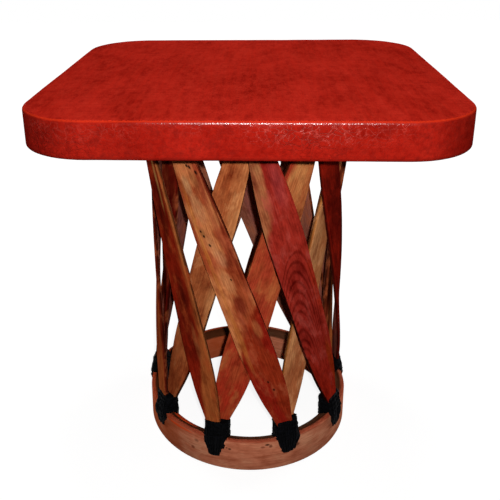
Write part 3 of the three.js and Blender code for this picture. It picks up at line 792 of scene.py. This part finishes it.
class EQUIPALE_OT_hide(bpy.types.Operator):
    """Hide drawn over the top, down the apron and under its edge"""
    bl_idname = "equipale.hide"
    bl_label = "Hide"

    def execute(self, context):
        settings = context.scene.equipale_hide
        low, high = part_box(COVER)
        size = high - low
        middle = (low + high) / 2
        hide = start(bpy.ops.mesh.primitive_cube_add, size, size=1, location=middle)
        edit(hide)
        for wanted, width, segments in ((longer_than(size.z / 2, 2), CORNER_RADIUS, 20),
                                        (level_at(high.z), TOP_ROUNDING, 5),
                                        (level_at(low.z), settings.thickness, 3)):
            pick(hide, "EDGE", wanted)
            bpy.ops.mesh.bevel(offset=width, segments=segments, affect="EDGES")
        pick(hide, "FACE", level_at(low.z))
        bpy.ops.mesh.inset(thickness=settings.hem - settings.thickness)
        bpy.ops.mesh.delete(type="FACE")
        self.lay_grid(settings, low, size, middle)
        self.settle(hide, settings)
        apply_modifier(hide, "SOLIDIFY", thickness=settings.thickness, offset=-1, use_even_offset=True)
        finish_mesh(hide, 40)
        dress(hide, "hide", hide_material(settings), "leather_red", COVER)
        # cut with the apron and the hem left on all round, and the corners cut round
        return {"FINISHED"}

    def lay_grid(self, settings, low, size, middle):
        """Cut the hide's faces into a grid, so that it can sink between its high places."""
        for axis in range(3):
            count = int(size[axis] / settings.grid)
            for step in range(1, count):
                place = list(middle)
                place[axis] = low[axis] + step * size[axis] / count
                bpy.ops.mesh.select_all(action="SELECT")
                bpy.ops.mesh.bisect(plane_co=place, plane_no=[float(way == axis) for way in range(3)])
        bpy.ops.object.mode_set(mode="OBJECT")

    def settle(self, hide, settings):
        """Let the hide sink a little between its high places."""
        for vert, normal in facing(hide):
            wide = noise.noise(vert.co * 7)
            fine = noise.noise(vert.co * 31 + Vector((5, 1, 3)))
            vert.co -= normal * settings.sink * max(0, 0.45 + 0.6 * wide + 0.3 * fine)


class EQUIPALE_OT_tacks(bpy.types.Operator):
    """Tacks that hold the hem under the apron"""
    bl_idname = "equipale.tacks"
    bl_label = "Tacks"
    # how far in from the fold, as a share of the hem, how far the head is driven in, and how flat it is
    inward = 0.7
    driven = 0.3 * MM
    flatness = 0.25

    def execute(self, context):
        settings = context.scene.equipale_hide
        low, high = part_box(COVER)
        tack = self.hammer_tack(settings)
        copies = []
        for place in self.places(settings, (high - low) / 2):
            copy = put("tack", tack.data.copy())
            copy.location = (place.x, place.y, low.z + self.driven)
            copies.append(copy)
        bpy.data.objects.remove(tack)
        tacks = join(*copies)
        finish_mesh(tacks, 50)
        dress(tacks, "hem_tacks", tack_material(), "leather_red")
        return {"FINISHED"}

    def places(self, settings, half):
        """Places along the hem's middle, spread evenly along each side and round each corner."""
        inset = settings.hem * self.inward
        radius = CORNER_RADIUS - inset
        places = []
        for quarter in range(4):
            turn = Matrix.Rotation(quarter * pi / 2, 3, "Z")
            side, reach = (half.x, half.y) if quarter % 2 == 0 else (half.y, half.x)
            straight = 2 * (side - CORNER_RADIUS)
            count = round(straight / settings.tack_spacing)
            for step in range(count):
                along = -straight / 2 + (step + 0.5) * straight / count
                places.append(turn @ Vector((along, inset - reach, 0)))
            count = round(radius * pi / 2 / settings.tack_spacing)
            centre = Vector((side - CORNER_RADIUS, CORNER_RADIUS - reach, 0))
            for step in range(count):
                angle = -pi / 2 + (step + 0.5) / count * pi / 2
                places.append(turn @ (centre + radius * Vector((cos(angle), sin(angle), 0))))
        return places

    def hammer_tack(self, settings):
        """A flat round head, its dome downwards."""
        tack = start(bpy.ops.mesh.primitive_uv_sphere_add, segments=10, ring_count=6,
                     radius=settings.tack_radius)
        edit(tack, "FACE", "SELECT")
        bpy.ops.mesh.bisect(plane_co=(0, 0, 0.1 * MM), plane_no=(0, 0, 1), clear_outer=True, use_fill=True)
        bpy.ops.mesh.select_all(action="SELECT")
        bpy.ops.transform.resize(value=(1, 1, self.flatness))
        bpy.ops.object.mode_set(mode="OBJECT")
        return tack


class EQUIPALE_OT_carcass(bpy.types.Operator):
    """Raw pine on the boards, rails, corner blocks and battens"""
    bl_idname = "equipale.carcass"
    bl_label = "Carcass"

    def execute(self, context):
        along_x = pine_material("raw_pine_along_x", 0)
        along_y = pine_material("raw_pine_along_y", 1)
        for names, material in ((BOARDS + RAILS_ALONG_X, along_x), (RAILS_ALONG_Y + BLOCKS, along_y)):
            for name in names:
                for slot in bpy.data.objects[name].material_slots:
                    slot.material = material
        return {"FINISHED"}


def lashing_turn(name):
    """How far round the base a lashing's bore is, from its lowest or highest corners, which lie evenly."""
    corners = [vert.co for vert in bpy.data.objects[name].data.vertices]
    lowest_or_highest = min if name in LOWER_LASHINGS else max
    tip = lowest_or_highest(corner.z for corner in corners)
    ends = [corner for corner in corners if abs(corner.z - tip) < AT_CORNER]
    middle = sum(ends, Vector()) / len(ends)
    return atan2(middle.x, -middle.y)


class EQUIPALE_OT_hoops(bpy.types.Operator):
    """The floor hoop and the upper hoop, bent round and bored for the lacing"""
    bl_idname = "equipale.hoops"
    bl_label = "Hoops"
    # how deep the scraper goes, how high up it leaves the hoop even to stand, and how long the bit is
    scraped = 0.6 * MM
    even = 4 * MM
    bit_length = 60 * MM

    def execute(self, context):
        settings = context.scene.equipale_basket
        material = hoop_material(settings)
        for node, lashings in ((LOWER_HOOP, LOWER_LASHINGS), (UPPER_HOOP, UPPER_LASHINGS)):
            low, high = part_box(node)
            inner = min(vert.co.xy.length for vert in bpy.data.objects[node].data.vertices)
            outer = max(vert.co.xy.length for vert in bpy.data.objects[node].data.vertices)
            hoop = self.bend(settings, inner, outer, low.z, high.z, node == LOWER_HOOP)
            bore = high.z - LOWER_BORE_DEPTH if node == LOWER_HOOP else low.z + UPPER_BORE_DEPTH
            self.bore(hoop, lashings, high.x - HALF_HOOP, bore)
            self.scrape(hoop)
            finish_mesh(hoop, 35)
            self.measure(hoop, outer, inner, low, high)
            dress(hoop, node + "_bent", material, "hoop_wood", node)
        return {"FINISHED"}

    def bend(self, settings, inner, outer, low, high, floor_hoop):
        """Shape the hoop's section behind the middle and spin it round."""
        hoop = start(bpy.ops.mesh.primitive_plane_add, (high - low, outer - inner, 1), size=1,
                     rotation=(0, pi / 2, 0), location=(0, (outer + inner) / 2, (low + high) / 2))
        edit(hoop)

        def corner(radius, level):
            return lambda vert: abs(vert.co.y - radius) < AT_CORNER and abs(vert.co.z - level) < AT_CORNER

        if floor_hoop:
            bevel = inner + BEVEL_WIDTH
            pick(hoop, "EDGE", level_at(high))
            bpy.ops.mesh.subdivide(number_cuts=1)
            pick(hoop, "VERT", corner((inner + outer) / 2, high))
            bpy.ops.transform.translate(value=(0, bevel - (inner + outer) / 2, 0))
            pick(hoop, "VERT", corner(inner, high))
            bpy.ops.transform.translate(value=(0, 0, -BEVEL_DROP))
            rounds = ((outer, high, HOOP_ROUNDING, 6), (bevel, high, BEVEL_ARRIS, 3),
                      (inner, high - BEVEL_DROP, BEVEL_ARRIS, 3),
                      (outer, low, HOOP_ARRIS, 2), (inner, low, HOOP_ARRIS, 2))
        else:
            rounds = [(radius, level, HOOP_ARRIS, 2) for radius in (outer, inner) for level in (low, high)]
        for radius, level, width, segments in rounds:
            pick(hoop, "VERT", corner(radius, level))
            bpy.ops.mesh.bevel(offset=width, segments=segments, affect="VERTICES")
        bpy.ops.mesh.select_all(action="SELECT")
        bpy.ops.mesh.delete(type="ONLY_FACE")
        bpy.ops.mesh.select_all(action="SELECT")
        bpy.ops.mesh.spin(steps=settings.hoop_steps, angle=2 * pi, center=(0, 0, 0), axis=(0, 0, 1))
        turn_outward(hoop, merge=True)
        finish_mesh(hoop, 35)
        return hoop

    def bore(self, hoop, lashings, radius, level):
        """Bore the hoop where each lashing goes through it."""
        bits = []
        for name in lashings:
            turn = lashing_turn(name)
            place = (sin(turn) * radius, -cos(turn) * radius, level)
            bits.append(start(bpy.ops.mesh.primitive_cylinder_add, vertices=16, radius=BORE_RADIUS,
                              depth=self.bit_length, location=place, rotation=(pi / 2, 0, turn)))
        bit = join(*bits)
        apply_modifier(hoop, "BOOLEAN", operation="DIFFERENCE", object=bit, solver="EXACT")
        bpy.data.objects.remove(bit)

    def scrape(self, hoop):
        """Take a little off unevenly, as the scraper does, except where the hoop stands."""
        for vert, normal in facing(hoop):
            wave = noise.noise(vert.co * 18) * 0.5 + noise.noise(vert.co * 55) * 0.2
            if vert.co.z > self.even:
                vert.co -= normal * self.scraped * (wave + 0.5)

    def measure(self, hoop, outer, inner, low, high):
        """Write how far round, how high and how far out each corner of each face is."""
        mesh = hoop.data
        grain, share = [], []
        for face in mesh.polygons:
            home = atan2(face.center.x, -face.center.y)
            for index in face.vertices:
                place = mesh.vertices[index].co
                angle = atan2(place.x, -place.y)
                angle += round((home - angle) / (2 * pi)) * 2 * pi
                radius = place.xy.length
                grain.append((angle * outer, place.z, radius))
                share.append((angle / (2 * pi), (place.z - low.z) / (high.z - low.z),
                              (radius - inner) / (outer - inner)))
        write_attribute(hoop, "grain", grain, "CORNER")
        write_attribute(hoop, "share", share, "CORNER")


class SlatRule:
    """The middle, half width and half thickness of a slat at any height, from its CAD rings."""
    # rings are whole from this height up, and the corners of one are further apart than this
    whole_from = 90 * MM
    corner_gap = 0.4 * MM

    def __init__(self, name):
        levels = {}
        for vert in bpy.data.objects[name].data.vertices:
            place = vert.co
            levels.setdefault(round(place.z, 5), set()).add((round(place.x, 6), round(place.y, 6)))
        self.rings = []
        for level in sorted(levels):
            corners = [Vector((x, y, level)) for x, y in levels[level]]
            if len(corners) >= 8 and level >= self.whole_from:
                self.rings.append(self.ring(self.apart(corners), level))
        self.foot = min(levels)
        self.head = max(levels)

    def apart(self, corners):
        """Eight corners, without any that lie on the same place."""
        kept = []
        for corner in corners:
            if all((corner - other).length > self.corner_gap for other in kept):
                kept.append(corner)
        if len(kept) > 8:
            middle = sum(kept, Vector()) / len(kept)
            kept.sort(key=lambda corner: -(corner - middle).length)
        return kept[:8]

    def ring(self, corners, level):
        """The corners' height, middle, and half of the way across the slat and out through it."""
        middle = sum(corners, Vector()) / len(corners)
        corners = sorted(corners, key=lambda corner: atan2(corner.y - middle.y, corner.x - middle.x))
        gaps = [((corners[(k + 1) % 8] - corners[k]).length, k) for k in range(8)]
        wide = [k for _, k in sorted(gaps)[-2:]]
        inner = min(wide, key=lambda k: (corners[k] + corners[(k + 1) % 8]).length)
        ordered = [corners[(inner - 1 + k) % 8] for k in range(8)]
        across = (ordered[0] + ordered[7] - ordered[3] - ordered[4]) / 4
        out = (ordered[5] + ordered[6] - ordered[1] - ordered[2]) / 4
        return level, middle, across, out

    def at(self, level):
        """Middle, across and out at a height, on a smooth curve through the rings."""
        rings = self.rings
        index = 0
        while index < len(rings) - 2 and level > rings[index + 1][0]:
            index += 1
        first, second = rings[index], rings[index + 1]
        before = rings[index - 1] if index > 0 else first
        after = rings[index + 2] if index + 2 < len(rings) else second
        span = second[0] - first[0]
        share = (level - first[0]) / span
        found = []
        for part in (1, 2, 3):
            slope = (second[part] - first[part]) / span
            start = slope if before is first else (second[part] - before[part]) / (second[0] - before[0])
            stop = slope if after is second else (after[part] - first[part]) / (after[0] - first[0])
            # a slat runs on straight below its lowest ring
            if share < 0:
                found.append(first[part] + start * (level - first[0]))
                continue
            squared, cubed = share * share, share ** 3
            found.append(first[part] * (2 * cubed - 3 * squared + 1)
                         + start * span * (cubed - 2 * squared + share)
                         + second[part] * (3 * squared - 2 * cubed) + stop * span * (cubed - squared))
        return found


class EQUIPALE_OT_slats(bpy.types.Operator):
    """The eighteen riven slats of the basket"""
    bl_idname = "equipale.slats"
    bl_label = "Slats"
    outer_fifth = 0.2

    def execute(self, context):
        settings = context.scene.equipale_basket
        blank = self.rive_blank(settings)
        for number, name in enumerate(SLATS):
            slat = put(name + "_riven", blank.data.copy())
            self.set_slat(slat, name, settings, number)
            material = cedar_material(name, {**PLAIN_LOOK, **LOOKS[name]}, number + 1)
            dress(slat, name + "_riven", material, "cedar_" + TONES[name], name)
        bpy.data.objects.remove(blank)
        return {"FINISHED"}

    def rive_blank(self, settings):
        """A slat blank 2 units wide and thick and 1 long, its long edges cut off and a fine grid on it."""
        lengthwise, across = longer_than(0.5, 2), longer_than(1, 0)
        blank = start(bpy.ops.mesh.primitive_cube_add, (1, 1, 0.5), size=2, location=(0, 0, 0.5))
        edit(blank)
        pick(blank, "EDGE", lengthwise)
        bpy.ops.mesh.bevel(offset=self.outer_fifth, segments=2, affect="EDGES")
        pick(blank, "EDGE", across)
        bpy.ops.mesh.subdivide(number_cuts=7)
        pick(blank, "EDGE", lengthwise)
        bpy.ops.mesh.subdivide(number_cuts=int(0.6 / settings.step))
        bpy.ops.object.mode_set(mode="OBJECT")
        return blank

    def inside(self, place, half, arris):
        """A place on the blank, from -1 to 1, on the real section: the outer fifth is the arris."""
        size = abs(place)
        narrow = min(arris, half * 0.4)
        flat = 1 - self.outer_fifth
        if size < flat:
            return copysign(size / flat * (half - narrow), place)
        return copysign(half - (1 - size) / self.outer_fifth * narrow, place)

    def set_slat(self, slat, name, settings, number):
        """Bring the blank to the slat's rings, with wandering edges and the facets of the knife."""
        rule = SlatRule(name)
        grain, share = [], []
        length = (rule.at(rule.head)[0] - rule.at(rule.foot)[0]).length
        shift = Vector((number * 7.3, number * 3.1, 0))
        near = 2 * MM
        for vert in slat.data.vertices:
            x, y, z = vert.co
            side = 1 if x > 0 else -1
            level = rule.foot + z * (rule.head - rule.foot)
            middle, across, out = rule.at(level)
            along = (rule.at(level + near)[0] - rule.at(level - near)[0]).normalized()
            half = (across - along * across.dot(along)).length
            thick = (out - along * out.dot(along)).length
            wide = self.inside(x, half, settings.arris)
            deep = self.inside(y, thick, settings.arris)
            up = z * length
            wave = noise.noise(Vector((2 * side, up * 9, 0)) + shift) \
                + 0.4 * noise.noise(Vector((5 * side, up * 45, 1)) + shift)
            facet = noise.noise(Vector((wide * 30, up * 9, 3 if y > 0 else -3)) + shift)
            calm = min(1, min(z, 1 - z) * 6)
            wide += settings.edge_wave * wave * calm * (wide / half) ** 2 * side
            deep -= settings.face_wave * (0.5 + facet) * calm * deep / thick
            vert.co = middle + across * (wide / half) + out * (-deep / thick)
            grain.append((wide, up, -deep))
            share.append((x, z, -y))
        slat.data.update()
        write_attribute(slat, "grain", grain)
        write_attribute(slat, "share", share)
        turn_outward(slat)
        finish_mesh(slat, 40)


def hump(share, middle, width):
    """1 at the middle, falling away softly to both sides."""
    return exp(-((share - middle) / width) ** 2)


class EQUIPALE_OT_lashings(bpy.types.Operator):
    """Lashings of black rawhide lace round the hoops and the slats' ends"""
    bl_idname = "equipale.lashings"
    bl_label = "Lashings"
    # laces on each face and turns round the end, and how many points each has
    laces, lace_points = 8, 20
    turns, turn_points = 3, 28
    # places outside the wound mass, across and all round, how far from them it is looked for, and how deep a
    # lace is pressed into it
    outside, beside = 90 * MM, 80 * MM
    reach = 200 * MM
    pressed = 0.45

    def execute(self, context):
        settings = context.scene.equipale_lacing
        material = lacing_material(settings)
        for number, name in enumerate(LOWER_LASHINGS + UPPER_LASHINGS):
            turn = Matrix.Rotation(lashing_turn(name), 3, "Z")
            core = self.swell(name, turn, settings, number)
            lashing = join(core, self.wind(core, name, turn, settings, number))
            finish_mesh(lashing, 60)
            dress(lashing, name + "_laced", material, "lacing", name)
        return {"FINISHED"}

    def ends(self, name, corners):
        """The height of the tip at the bore, and of the end at the slats."""
        heights = [corner.z for corner in corners]
        ends = min(heights), max(heights)
        return ends if name in LOWER_LASHINGS else ends[::-1]

    def swell(self, name, turn, settings, number):
        """The wound mass under the laces, lumpy as it dried."""
        core = put(name + "_core", frame["nodes"][name].data.copy())
        edit(core, "VERT", "SELECT")
        bpy.ops.mesh.remove_doubles(threshold=SAME_PLACE)
        edit(core, "FACE", "SELECT")
        bpy.ops.mesh.subdivide(number_cuts=2)
        bpy.ops.mesh.select_all(action="SELECT")
        bpy.ops.mesh.vertices_smooth(factor=0.5, repeat=2)
        bpy.ops.object.mode_set(mode="OBJECT")
        random.seed(number)
        shift = Vector([random.random() * 9 for _ in range(3)])
        tip, end = self.ends(name, [vert.co for vert in core.data.vertices])
        lean = random.uniform(-3, 3) * MM
        for vert, normal in facing(core):
            lump = noise.noise(vert.co * 95 + shift) + 0.6 * noise.noise(vert.co * 230 + shift)
            vert.co += normal * settings.lumps * lump
            share = (vert.co.z - tip) / (end - tip)
            place = turn.inverted() @ vert.co
            full = 1 + 0.6 * hump(share, 0, 0.2) + 0.42 * hump(share, 0.34, 0.17)
            full -= 0.08 * hump(share, 0.8, 0.2)
            place.x = place.x * full + lean * hump(share, 0, 0.3)
            place.x += 2 * MM * noise.noise(Vector((share * 5, copysign(2, place.x), number))) * (1 - share)
            vert.co = turn @ place
        return core

    def wind(self, core, name, turn, settings, number):
        """Laces that fan out from the bore on both sides of the hoop and go round the slats' ends."""
        tree = BVHTree.FromPolygons([vert.co for vert in core.data.vertices],
                                    [face.vertices for face in core.data.polygons])
        corners = [turn.inverted() @ vert.co for vert in core.data.vertices]
        tip, end = self.ends(name, corners)
        middle = sum(corner.y for corner in corners) / len(corners)
        half = max(abs(corner.x) for corner in corners)
        random.seed(number + 50)
        paths = []

        def touch(x, y, target_x, share):
            """Where a line from a place outside the core towards its middle meets it, pressed in a little."""
            z = tip + (end - tip) * share
            start = turn @ Vector((x, middle + y, z))
            way = (turn @ Vector((target_x, middle, z)) - start).normalized()
            hit = tree.ray_cast(start, way, self.reach)[0]
            return None if hit is None else hit - way * settings.strand * self.pressed

        for face in (-1, 1):
            for lace in range(self.laces):
                lean = (2 * lace / (self.laces - 1) - 1) * 0.86 + random.uniform(-0.07, 0.07)
                foot = lean * 0.42 + random.uniform(-0.1, 0.1)
                stop = random.uniform(0.86, 1.02)
                path = []
                for step in range(self.lace_points):
                    share = 0.05 + step / (self.lace_points - 1) * (stop - 0.05)
                    x = half * (foot + (lean - foot) * min(1, share * 2)) * 0.95
                    path.append(touch(x, face * self.outside, x, share))
                paths.append((path, False))
        for wrap in range(self.turns):
            level = 0.62 + wrap * 0.12 + random.uniform(-0.02, 0.02)
            tilt = random.uniform(-0.1, 0.1)
            path = []
            for step in range(self.turn_points):
                angle = step / self.turn_points * 2 * pi
                sideways = cos(angle)
                path.append(touch(sideways * self.beside, sin(angle) * self.beside, sideways * 4 * MM,
                                  level + tilt * sideways))
            paths.append((path, True))
        return self.lay_laces(paths, settings)

    def lay_laces(self, paths, settings):
        """Lay a lace along each path, thicker and thinner from point to point."""
        curve = bpy.data.curves.new("laces", "CURVE")
        curve.dimensions = "3D"
        curve.bevel_depth = settings.strand
        curve.bevel_resolution = 1
        curve.use_fill_caps = True
        for path, closed in paths:
            points = [point for point in path if point is not None]
            if len(points) < 5:
                continue
            spline = curve.splines.new("POLY")
            spline.points.add(len(points) - 1)
            for point, place in zip(spline.points, points):
                point.co = (*place, 1)
                point.radius = random.uniform(0.8, 1.15)
            spline.use_cyclic_u = closed and len(points) == len(path)
        choose(put("laces", curve))
        bpy.ops.object.convert(target="MESH")
        return bpy.context.object


class EQUIPALE_PT_panel(bpy.types.Panel):
    """Steps of the table, in the order they are made"""
    bl_idname = "EQUIPALE_PT_panel"
    bl_label = "Equipale table"
    bl_space_type = "VIEW_3D"
    bl_region_type = "UI"
    bl_category = "Equipale"

    def draw(self, context):
        for operator in STEPS:
            self.layout.operator(operator.bl_idname)
        for name, group in SETTINGS.items():
            column = self.layout.column(align=True)
            for key in group.__annotations__:
                column.prop(getattr(context.scene, name), key)


STEPS = (EQUIPALE_OT_stage, EQUIPALE_OT_hide, EQUIPALE_OT_tacks, EQUIPALE_OT_carcass, EQUIPALE_OT_hoops,
         EQUIPALE_OT_slats, EQUIPALE_OT_lashings)
CLASSES = (*SETTINGS.values(), *STEPS, EQUIPALE_PT_panel)


def register():
    for kind in CLASSES:
        bpy.utils.register_class(kind)
    for name, group in SETTINGS.items():
        setattr(bpy.types.Scene, name, PointerProperty(type=group))


def unregister():
    for name in SETTINGS:
        delattr(bpy.types.Scene, name)
    for kind in reversed(CLASSES):
        bpy.utils.unregister_class(kind)


def main():
    register()
    bpy.ops.equipale.stage()
    bpy.ops.equipale.hide()
    bpy.ops.equipale.tacks()
    bpy.ops.equipale.carcass()
    bpy.ops.equipale.hoops()
    bpy.ops.equipale.slats()
    bpy.ops.equipale.lashings()


if __name__ == "__main__":
    main()
